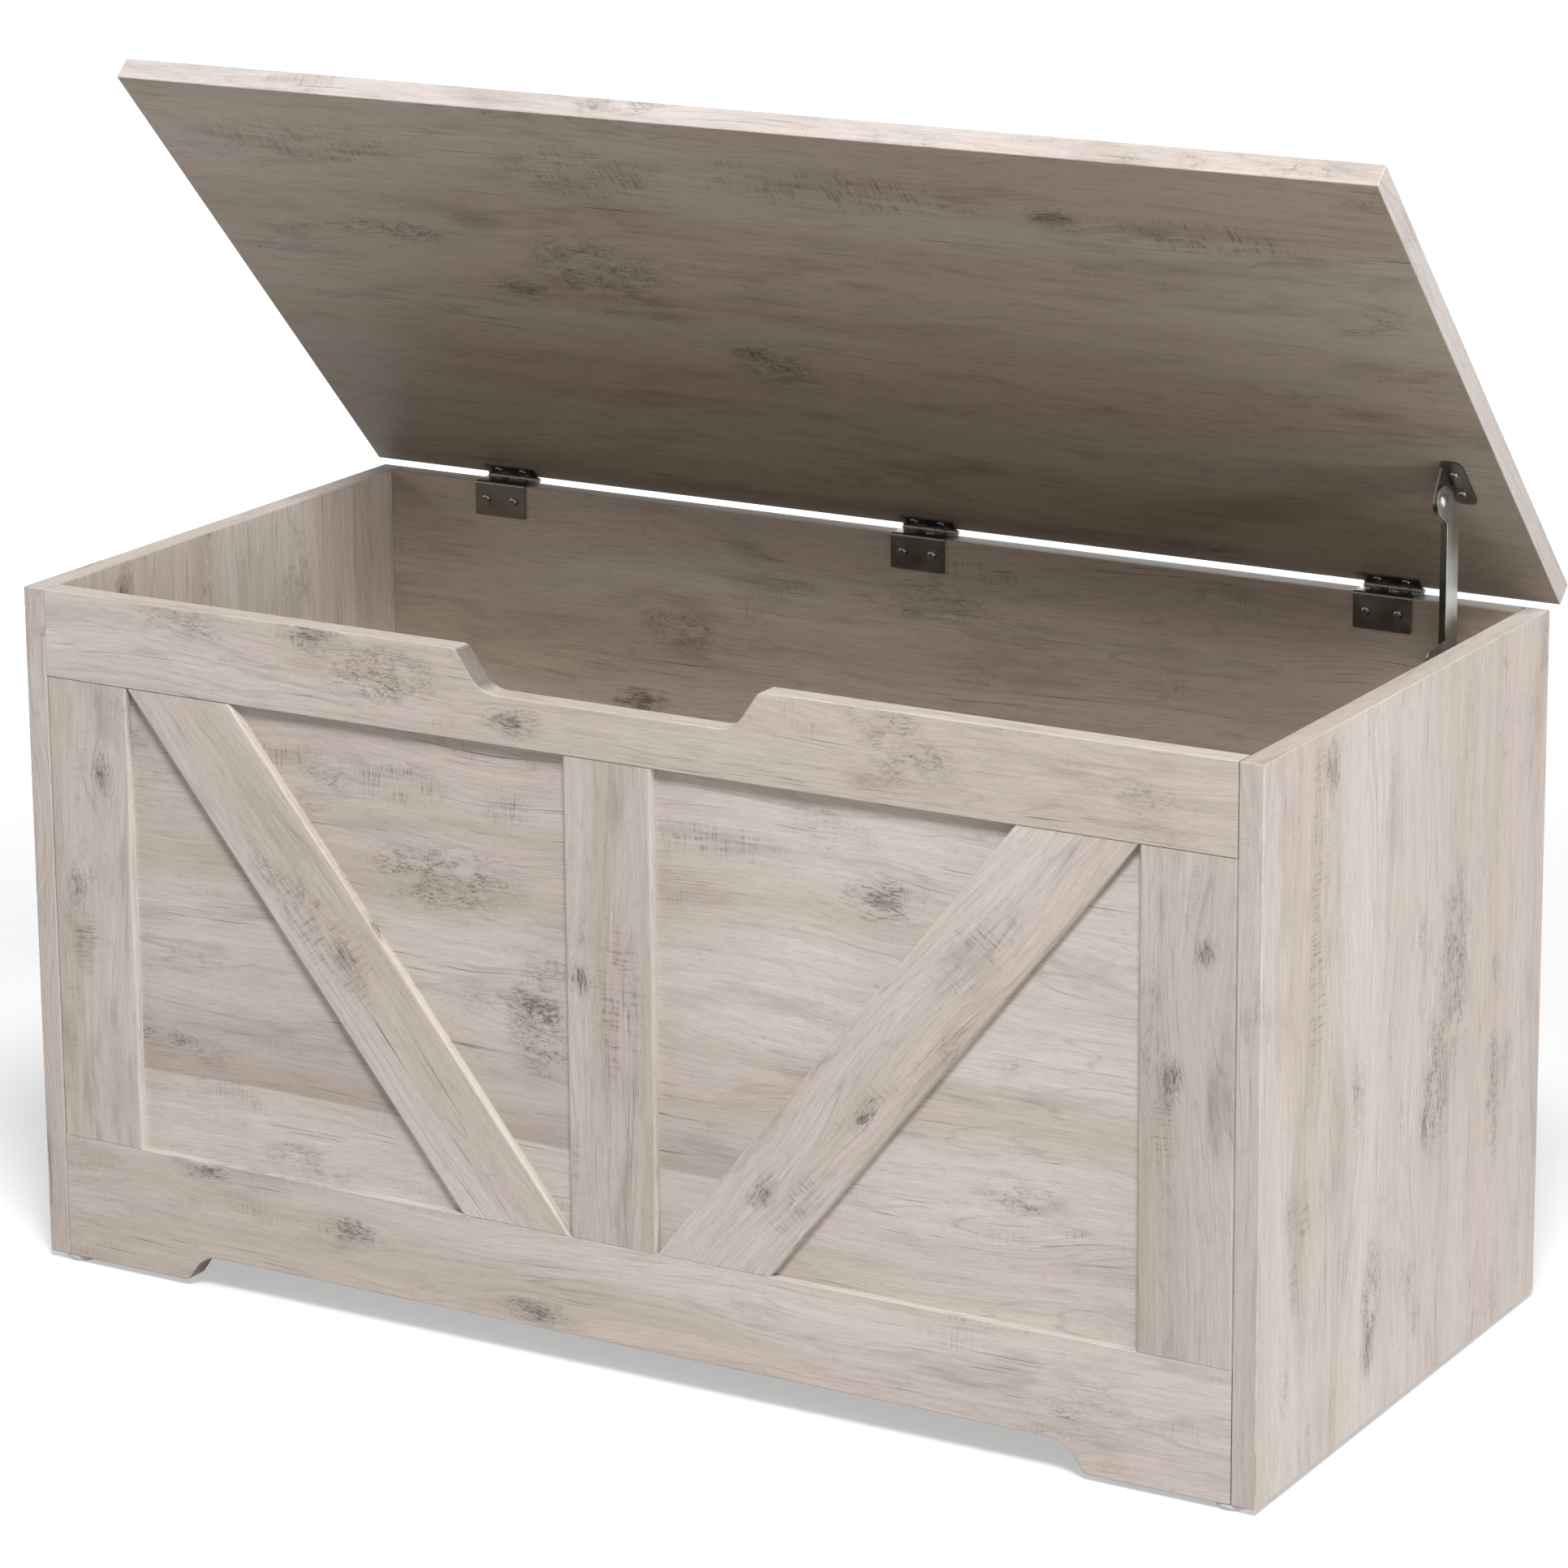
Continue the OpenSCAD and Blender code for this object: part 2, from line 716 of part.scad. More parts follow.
module stay_wall_plate() {
    half = [0, (wall_plate_l - wall_plate_w) / 2];
    color(DARK_STEEL) in_body() difference() {
        beside(0, wall_plate_t) bar_outline(hub - half, hub + half, wall_plate_w / 2);
        across(-past, wall_plate_t + 2 * past, hub, wall_rivet_d / 2 + fit);
        at_wall_plate_screws() screw_bore();
    }
}

module stay_wall_screws() {
    color(BRIGHT_STEEL) in_body() at_wall_plate_screws() screw(head_h, recess_h);
}

// Friction hub that brakes the lower arm: a stepped drum on the wall plate
module stay_friction_hub() {
    step = 2;
    color(DARK_STEEL) in_body() difference() {
        union() {
            across(wall_plate_t, hub_t - step, hub, hub_d / 2);
            across(wall_plate_t, hub_t, hub, hub_d / 2 - step);
        }
        across(0, hub_t + 2 * wall_plate_t, hub, wall_rivet_d / 2 + fit);
    }
}

module stay_wall_rivet() {
    shank_t = lower_layer + lower_arm_t + run_fit;
    color(BRIGHT_STEEL) in_body() {
        across(0, shank_t, hub, wall_rivet_d / 2);
        rivet_head(shank_t, -1, rivet_head_t, hub, wall_rivet_d * 0.9);
    }
}

// Lower arm: flat bar from the hub to the knee
module stay_lower_arm() {
    color(GREY_STEEL) in_body() difference() {
        beside(lower_layer, lower_arm_t) bar_outline(hub, knee, lower_arm_w / 2);
        across(lower_layer - past, lower_arm_t + 2 * past, hub, wall_rivet_d / 2 + run_fit);
        across(lower_layer - past, lower_arm_t + 2 * past, knee, knee_pin_d / 2 + fit);
    }
}

// Knee pin, riveted into the lower arm; its shank slides in the upper arm's slot
module stay_knee_pin() {
    head_layer = flange_layer;
    color(BRIGHT_STEEL) in_body() {
        across(lower_layer, head_layer - lower_layer, knee, knee_pin_d / 2);
        rivet_head(head_layer, -1, rivet_head_t - slide_gap, knee, knee_pin_d);
    }
}

// Upper arm: round head on the bracket's rivet, a neck cut back to clear the bracket, a
// straight strip with folded rims, and a foot to the front that holds the knee's slot
module arm_outline() {
    strip_front = pivot[0] + arm_back;
    strip_rear = strip_front + arm_w;
    strip_foot = knee[1] - strip_low;
    slot_low = knee - slot_down * [cos(slot_turn), sin(slot_turn)];
    slot_high = knee + slot_up * [cos(slot_turn), sin(slot_turn)];
    translate(pivot) circle(r = arm_head_r);
    polygon([touch([strip_front, pivot[1] + strip_top], pivot, arm_head_r, -1),
        [strip_front, pivot[1] + strip_top], [strip_front, strip_foot], [strip_rear, strip_foot],
        [strip_rear, pivot[1] + strip_shoulder], pivot + neck_low, pivot + neck_top,
        touch(pivot + neck_top, pivot, arm_head_r, 1)]);
    bar_outline(slot_low, slot_high, foot_r);
    polygon([[slot_low[0], strip_foot], [strip_front + past, strip_foot],
        [strip_front + past, slot_high[1] + foot_r], [slot_high[0], slot_high[1] + foot_r]]);
}

module stay_upper_arm() {
    strip_front = pivot[0] + arm_back;
    rim_low = knee[1] - strip_low;
    slot_dir = [cos(slot_turn), sin(slot_turn)];
    color(GREY_STEEL) in_body() difference() {
        union() {
            beside(upper_layer, arm_t) arm_outline();
            beside(upper_layer, arm_t + rim_h) {
                translate([strip_front, rim_low])
                    square([rim_t, pivot[1] + strip_top - rim_low]);
                translate([strip_front + arm_w - rim_t, rim_low])
                    square([rim_t, pivot[1] + strip_shoulder - rim_low]);
            }
        }
        across(upper_layer - past, arm_t + 2 * past, pivot, pivot_rivet_d / 2 + run_fit);
        beside(upper_layer - past, arm_t + 2 * past)
            bar_outline(knee - slot_down * slot_dir, knee + slot_up * slot_dir, slot_w / 2);
    }
}

// Lid bracket: oblong plate under the lid and a flange down to the upper pivot
module stay_lid_bracket() {
    rear = [bracket_rear - bracket_r, lid_z - bracket_t];
    front = [bracket_front + bracket_r, lid_z - bracket_t];
    color(DARK_STEEL) in_lid() difference() {
        union() {
            translate([side_in - bracket_side - bracket_w, bracket_front, lid_z - bracket_t])
                bracket_plate();
            beside(flange_layer, bracket_t) {
                translate(pivot_shut) circle(r = flange_r);
                polygon([front, touch(front, pivot_shut, flange_r, 1),
                    touch(rear, pivot_shut, flange_r, -1), rear,
                    rear + [0, bracket_t], front + [0, bracket_t]]);
            }
        }
        at_bracket_screws() screw_bore();
        across(flange_layer - past, bracket_t + 2 * past, pivot_shut, pivot_rivet_d / 2 + fit);
    }
}

// Oblong plate with rounded corners
module bracket_plate() {
    linear_extrude(bracket_t) {
        translate([bracket_r, 0]) square([bracket_w - 2 * bracket_r, bracket_l]);
        translate([0, bracket_r]) square([bracket_w, bracket_l - 2 * bracket_r]);
        for (x = [bracket_r, bracket_w - bracket_r], y = [bracket_r, bracket_l - bracket_r])
            translate([x, y]) circle(r = bracket_r);
    }
}

module stay_bracket_screws() {
    color(BRIGHT_STEEL) in_lid() at_bracket_screws() screw(head_h, recess_h);
}

// Rivet through the bracket's flange and the upper arm's head
module stay_bracket_rivet() {
    head_layer = upper_layer - run_fit;
    tail_layer = flange_layer + bracket_t + run_fit;
    color(BRIGHT_STEEL) in_lid() {
        rivet_head(head_layer, 1, rivet_head_t, pivot_shut, pivot_rivet_d * 0.8);
        across(head_layer, tail_layer - head_layer, pivot_shut, pivot_rivet_d / 2);
        rivet_head(tail_layer, -1, rivet_head_t, pivot_shut, pivot_rivet_d * 0.8);
    }
}

module cam_locks() {
    color(BRIGHT_STEEL) in_body() at_cams([0:len(CAMS) - 1])
        translate([side_in - cam_in, board_t / 2 - cam_t, 0]) difference() {
            rotate([-90, 0, 0]) cylinder(h = cam_t, r = cam_d / 2 - cam_slack);
            translate([-bolt_head_l / 2 - cam_slack, cam_t - board_t / 2, 0]) rotate([0, 90, 0])
                cylinder(h = cam_d, r = bolt_head_d / 2 + cam_slack);
            translate([0, cam_t, 0]) rotate([90, 0, 0]) cross_recess(recess_h);
        }
}

module cam_bolts() {
    shaft_l = cam_in + bolt_head_l / 2;
    color(BRIGHT_STEEL) in_body() at_cams([0:len(CAMS) - 1])
        translate([side_in - shaft_l, 0, 0]) rotate([0, 90, 0]) {
            cylinder(h = bolt_head_l, r = bolt_head_d / 2);
            cylinder(h = shaft_l, r = bolt_shaft_d / 2);
            translate([0, 0, shaft_l - bolt_collar_l])
                cylinder(h = bolt_collar_l, r = bolt_collar_d / 2);
            translate([0, 0, shaft_l]) cylinder(h = bolt_thread_l, r = bolt_thread_d / 2);
        }
}

// Dowel with chamfered ends
module dowel(d, l) {
    rotate_extrude() polygon([[0, 0], [d / 2 - dowel_chamfer, 0], [d / 2, dowel_chamfer],
        [d / 2, l - dowel_chamfer], [d / 2 - dowel_chamfer, l], [0, l]]);
}

module dowels() {
    color(PLAIN_WOOD) in_body() for (i = [0:len(DOWELS) - 1])
        at_dowels([i]) dowel(DOWELS[i][2], DOWELS[i][3] + dowel_in_side);
}

side_panel_left();
side_panel_right();
back_panel();
bottom_panel();
front_panel();
top_rail();
bottom_rail();
stile_left();
stile_centre();
stile_right();
brace_left();
brace_right();
glides();
glide_nails();
hinge_body_leaf_left();
hinge_body_leaf_centre();
hinge_body_leaf_right();
hinge_pins();
hinge_body_screws();
stay_wall_plate();
stay_wall_screws();
stay_friction_hub();
stay_wall_rivet();
cam_locks();
cam_bolts();
dowels();
lid_panel();
hinge_lid_leaf_left();
hinge_lid_leaf_centre();
hinge_lid_leaf_right();
hinge_lid_screws();
stay_lid_bracket();
stay_bracket_screws();
stay_bracket_rivet();
stay_upper_arm();
stay_lower_arm();
stay_knee_pin();
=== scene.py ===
"""Storage chest of washed wood-effect boards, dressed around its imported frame."""

import json
from math import cos, radians, sin

import bmesh
import bpy
from mathutils import Matrix, Quaternion, Vector

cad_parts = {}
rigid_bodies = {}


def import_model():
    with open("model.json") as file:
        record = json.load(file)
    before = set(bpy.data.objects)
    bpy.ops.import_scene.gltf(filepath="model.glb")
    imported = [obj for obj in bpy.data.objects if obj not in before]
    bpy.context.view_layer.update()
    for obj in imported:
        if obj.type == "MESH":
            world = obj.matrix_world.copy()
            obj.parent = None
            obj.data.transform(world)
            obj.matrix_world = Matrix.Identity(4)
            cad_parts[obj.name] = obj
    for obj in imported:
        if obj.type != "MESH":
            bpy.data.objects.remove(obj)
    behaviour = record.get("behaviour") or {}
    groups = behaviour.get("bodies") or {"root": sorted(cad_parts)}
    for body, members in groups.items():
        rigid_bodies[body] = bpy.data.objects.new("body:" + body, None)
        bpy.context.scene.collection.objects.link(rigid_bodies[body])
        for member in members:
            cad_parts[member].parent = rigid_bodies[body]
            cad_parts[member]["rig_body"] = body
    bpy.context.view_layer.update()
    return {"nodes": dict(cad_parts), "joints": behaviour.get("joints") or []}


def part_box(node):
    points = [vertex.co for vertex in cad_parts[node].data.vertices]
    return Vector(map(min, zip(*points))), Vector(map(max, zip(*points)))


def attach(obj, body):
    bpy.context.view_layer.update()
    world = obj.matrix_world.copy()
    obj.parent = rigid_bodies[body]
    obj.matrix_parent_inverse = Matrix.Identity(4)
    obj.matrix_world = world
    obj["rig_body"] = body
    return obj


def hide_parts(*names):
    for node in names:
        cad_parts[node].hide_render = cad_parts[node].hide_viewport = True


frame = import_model()
nodes = frame["nodes"]

# Camera: a long lens at the right front, a little above the lid's rear edge, with the frame
# shifted down so that upright edges stay nearly upright.
photo_px = 1932
focal_px = 6908.5
axis_row_px = 734
sensor_mm = 36
camera_azimuth = radians(30.593)
camera_elevation = radians(13.936)
camera_roll = radians(0.485)
camera_distance = 3.3826
camera_target = Vector((0.00155, -0.00027, 0.43417))
toward_camera = Vector((
    sin(camera_azimuth) * cos(camera_elevation),
    -cos(camera_azimuth) * cos(camera_elevation),
    sin(camera_elevation),
))
camera_data = bpy.data.cameras.new("camera")
camera_data.sensor_width = sensor_mm
camera_data.lens = sensor_mm * focal_px / photo_px
camera_data.shift_y = (axis_row_px - photo_px / 2) / photo_px
camera = bpy.data.objects.new("camera", camera_data)
camera.location = camera_target + toward_camera * camera_distance
camera.rotation_mode = "QUATERNION"
camera.rotation_quaternion = (
    toward_camera.to_track_quat("Z", "Y") @ Quaternion((0, 0, 1), -camera_roll)
)
bpy.context.scene.collection.objects.link(camera)
bpy.context.scene.camera = camera


# Studio: a pale floor that runs out to a white surround and throws light back up, a large
# soft lamp above the right front corner, and weak ones at the right, the left and the rear.
floor_size = 30
floor_near, floor_far = 0.7, 2.6
floor_glow_near, floor_glow_far = 0.45, 1.0
floor_seen = 0.55
floor_bounce = 0.5
surround_light = 0.1
surround_seen = 1.0
lamps = {
    "top_lamp": {"at": (1.35, -1.95, 3.60), "size": 1.1, "power": 180},
    "side_lamp": {"at": (3.40, -0.60, 0.45), "size": 0.5, "power": 39},
    "left_lamp": {"at": (-3.20, -1.20, 1.60), "size": 1.5, "power": 24},
    "rear_lamp": {"at": (-1.20, 3.40, 0.70), "size": 1.5, "power": 36},
}


def grey(level):
    return (level, level, level, 1)


def seen_directly(tree):
    """1 where the camera, a mirror or glass looks at the surface, 0 for diffuse light."""
    paths = tree.nodes.new("ShaderNodeLightPath")
    total = paths.outputs["Is Camera Ray"]
    for kind in ("Is Glossy Ray", "Is Transmission Ray"):
        larger = tree.nodes.new("ShaderNodeMath")
        larger.operation = "MAXIMUM"
        tree.links.new(total, larger.inputs[0])
        tree.links.new(paths.outputs[kind], larger.inputs[1])
        total = larger.outputs[0]
    return total


floor_bm = bmesh.new()
bmesh.ops.create_grid(floor_bm, x_segments=1, y_segments=1, size=floor_size / 2)
floor_mesh = bpy.data.meshes.new("floor")
floor_bm.to_mesh(floor_mesh)
floor_bm.free()
floor = bpy.data.objects.new("floor", floor_mesh)
bpy.context.scene.collection.objects.link(floor)
floor_paint = bpy.data.materials.new("floor_paint")
floor_paint.use_nodes = True
floor_tree = floor_paint.node_tree
floor_tree.nodes.clear()
floor_out = floor_tree.nodes.new("ShaderNodeOutputMaterial")
floor_mix = floor_tree.nodes.new("ShaderNodeMixShader")
floor_dull = floor_tree.nodes.new("ShaderNodeBsdfDiffuse")
floor_dull.inputs["Color"].default_value = grey(floor_bounce)
floor_pale = floor_tree.nodes.new("ShaderNodeBsdfDiffuse")
floor_pale.inputs["Color"].default_value = grey(floor_seen)
floor_place = floor_tree.nodes.new("ShaderNodeTexCoord")
floor_reach = floor_tree.nodes.new("ShaderNodeVectorMath")
floor_reach.operation = "LENGTH"
floor_fade = floor_tree.nodes.new("ShaderNodeMapRange")
floor_fade.interpolation_type = "SMOOTHSTEP"
for socket, value in enumerate((floor_near, floor_far, floor_glow_near, floor_glow_far), 1):
    floor_fade.inputs[socket].default_value = value
floor_light = floor_tree.nodes.new("ShaderNodeEmission")
floor_light.inputs["Color"].default_value = grey(1)
floor_sum = floor_tree.nodes.new("ShaderNodeAddShader")
floor_tree.links.new(floor_place.outputs["Object"], floor_reach.inputs[0])
floor_tree.links.new(floor_reach.outputs["Value"], floor_fade.inputs[0])
floor_tree.links.new(floor_fade.outputs[0], floor_light.inputs["Strength"])
floor_tree.links.new(floor_pale.outputs[0], floor_sum.inputs[0])
floor_tree.links.new(floor_light.outputs[0], floor_sum.inputs[1])
floor_tree.links.new(seen_directly(floor_tree), floor_mix.inputs[0])
floor_tree.links.new(floor_dull.outputs[0], floor_mix.inputs[1])
floor_tree.links.new(floor_sum.outputs[0], floor_mix.inputs[2])
floor_tree.links.new(floor_mix.outputs[0], floor_out.inputs["Surface"])
floor_mesh.materials.append(floor_paint)

world = bpy.data.worlds.new("surround")
bpy.context.scene.world = world
world.use_nodes = True
world_tree = world.node_tree
world_tree.nodes.clear()
world_out = world_tree.nodes.new("ShaderNodeOutputWorld")
world_mix = world_tree.nodes.new("ShaderNodeMixShader")
for socket, strength in ((1, surround_light), (2, surround_seen)):
    glow = world_tree.nodes.new("ShaderNodeBackground")
    glow.inputs["Color"].default_value = grey(1)
    glow.inputs["Strength"].default_value = strength
    world_tree.links.new(glow.outputs[0], world_mix.inputs[socket])
world_tree.links.new(seen_directly(world_tree), world_mix.inputs[0])
world_tree.links.new(world_mix.outputs[0], world_out.inputs["Surface"])

for lamp_name, lamp in lamps.items():
    light = bpy.data.lights.new(lamp_name, "AREA")
    light.shape = "DISK"
    light.size = lamp["size"]
    light.energy = lamp["power"]
    holder = bpy.data.objects.new(lamp_name, light)
    holder.location = lamp["at"]
    holder.rotation_mode = "QUATERNION"
    holder.rotation_quaternion = (Vector(lamp["at"]) - camera_target).to_track_quat("Z", "Y")
    bpy.context.scene.collection.objects.link(holder)
bpy.context.scene.view_settings.view_transform = "Standard"


# Side panels: one board each, chipboard under a printed washed-wood film with the grain
# upright, and matching tape on the edges. Cam bolts and dowels hold them to the other boards.
mm = 0.001
up, right, rear = (0, 0, 1), (1, 0, 0), (0, 1, 0)
front_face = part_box("side_panel_right")[0].y
board_edge_r = 0.8 * mm
# Painted shade: the film on the boards' edges is darkened to this level
board_edge_shade = 0.92
side_stain = 0.36
weld_gap = 0.002 * mm
flat_turn, sharp_turn = radians(0.5), radians(40)
slanted = Vector((1, 1.1, 1.3))

# The film's inks
washed_pale, washed_warm, washed_rose = (211, 204, 196), (197, 185, 174), (211, 197, 190)
fresh_pale = (210, 202, 195)
smudge_grey, ring_brown = (146, 132, 121), (126, 110, 99)
knot_grey, crack_black = (120, 109, 101), (86, 75, 67)

side_prints = {
    "left": {
        "seed": 5.0,
        "knots": ((414, 80, 12, 7),),
        "crackle": ((160, 250, 70, 22),),
    },
    "right": {
        "seed": 9.0,
        "knots": ((410, 86, 14, 7), (162, 220, 10, 5), (48, 146, 14, 6)),
        "crackle": (
            (250, 262, 80, 28), (184, 236, 60, 24), (148, 320, 60, 14), (82, 150, 46, 18),
        ),
        "sawn": ((370, 72, 90, 14), (283, 71, 90, 14), (160, 57, 22, 30)),
    },
}


def outline_of(bm, sharp):
    """The sharp edges that hang together with one corner of the board, and not its holes.

    The corner is the point that comes first along a slanted line."""
    waiting = [min(bm.verts, key=lambda vert: vert.co.dot(slanted))]
    reached = set()
    while waiting:
        here = waiting.pop()
        for edge in here.link_edges:
            if edge in sharp and edge not in reached:
                reached.add(edge)
                waiting.append(edge.other_vert(here))
    return reached


def eased_copy(node, radius, outline_only=True):
    """A copy of a CAD piece with its sharp edges rounded, which stands for that piece."""
    bm = bmesh.new()
    bm.from_mesh(nodes[node].data)
    bmesh.ops.remove_doubles(bm, verts=bm.verts, dist=weld_gap)
    bmesh.ops.dissolve_limit(
        bm, angle_limit=flat_turn, verts=bm.verts, edges=bm.edges,
        use_dissolve_boundaries=False, delimit=set(),
    )
    sharp = {e for e in bm.edges if len(e.link_faces) == 2 and e.calc_face_angle() > sharp_turn}
    if outline_only:
        sharp = outline_of(bm, sharp)
    if radius:
        bmesh.ops.bevel(
            bm, geom=[e for e in bm.edges if e in sharp], offset=radius, offset_type="OFFSET",
            segments=3, profile=0.5, affect="EDGES", clamp_overlap=True, material=-1,
        )
    for face in bm.faces:
        face.smooth = True
    for edge in bm.edges:
        edge.smooth = len(edge.link_faces) == 2 and edge.calc_face_angle() < sharp_turn
    mesh = bpy.data.meshes.new(node + "_finished")
    bm.to_mesh(mesh)
    bm.free()
    piece = bpy.data.objects.new(node + "_finished", mesh)
    bpy.context.scene.collection.objects.link(piece)
    even = piece.modifiers.new("even_shading", "WEIGHTED_NORMAL")
    even.keep_sharp = True
    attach(piece, nodes[node]["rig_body"])
    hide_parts(node)
    return piece


def cover(piece, material):
    piece.data.materials.clear()
    piece.data.materials.append(material)


def tone(red, green, blue, shade=(1, 1, 1)):
    """A colour written in 0 to 255 steps, as the linear values that the shader takes."""
    steps = [c / 255 for c in (red, green, blue)]
    linear = [c / 12.92 if c <= 0.04045 else ((c + 0.055) / 1.055) ** 2.4 for c in steps]
    return (*(c * part for c, part in zip(linear, shade)), 1)


class Finish:
    """A material in the making: each call adds one node and gives its output."""

    def __init__(self, name):
        self.material = bpy.data.materials.new(name)
        self.material.use_nodes = True
        self.tree = self.material.node_tree
        self.shader = self.tree.nodes["Principled BSDF"]
        coordinates = self.add("ShaderNodeTexCoord")
        self.at, self.facing = coordinates.outputs["Object"], coordinates.outputs["Normal"]

    def add(self, kind, values=(), **settings):
        node = self.tree.nodes.new(kind)
        for key, setting in settings.items():
            setattr(node, key, setting)
        for socket, value in values:
            self.feed(node.inputs[socket], value)
        return node

    def feed(self, socket, value):
        if isinstance(value, bpy.types.NodeSocket):
            self.tree.links.new(value, socket)
        else:
            socket.default_value = value

    def maths(self, operation, *values):
        return self.add("ShaderNodeMath", enumerate(values), operation=operation).outputs[0]

    def vectors(self, operation, *values):
        node = self.add("ShaderNodeVectorMath", enumerate(values), operation=operation)
        return node.outputs["Value" if operation == "LENGTH" else "Vector"]

    def parts(self, vector):
        return self.add("ShaderNodeSeparateXYZ", ((0, vector),)).outputs

    def whole(self, *parts):
        return self.add("ShaderNodeCombineXYZ", enumerate(parts)).outputs[0]

    def step(self, value, start, end, low=0.0, high=1.0):
        """Goes smoothly from low to high as the value goes from start to end."""
        if start > end:
            start, end, low, high = end, start, high, low
        return self.add(
            "ShaderNodeMapRange", ((0, value), (1, start), (2, end), (3, low), (4, high)),
            interpolation_type="SMOOTHSTEP",
        ).outputs[0]

    def blend(self, factor, first, second):
        return self.add(
            "ShaderNodeMix", ((0, factor), (6, first), (7, second)), data_type="RGBA",
        ).outputs[2]

    def choose(self, factor, first, second):
        return self.add(
            "ShaderNodeMix", ((0, factor), (4, first), (5, second)), data_type="VECTOR",
        ).outputs[1]

    def noise(self, place, size, shift=0.0, detail=2.0, rough=0.5, twist=0.0):
        """Noise whose grains have the given sizes along, across and through the surface."""
        apart = (shift, 1.7 * shift, 0.6 * shift)
        scaled = self.vectors("MULTIPLY_ADD", place, [1 / s for s in size], apart)
        return self.add(
            "ShaderNodeTexNoise",
            (("Vector", scaled), ("Scale", 1.0), ("Detail", detail), ("Roughness", rough),
             ("Distortion", twist)),
        ).outputs[0]

    def placed(self, socket, turn, origin=(0, 0, 0), unit=1.0):
        """Coordinates from an origin, along axes of the piece's own, in the unit given."""
        return self.add(
            "ShaderNodeMapping",
            (("Vector", socket), ("Location", origin), ("Rotation", turn),
             ("Scale", (unit, unit, unit))),
            vector_type="TEXTURE",
        ).outputs[0]

    def bump(self, height, strength, distance):
        return self.add(
            "ShaderNodeBump", (("Strength", strength), ("Distance", distance), ("Height", height))
        ).outputs[0]

    def put(self, **sockets):
        for key, value in sockets.items():
            self.feed(self.shader.inputs[key.replace("_", " ")], value)
        return self.material


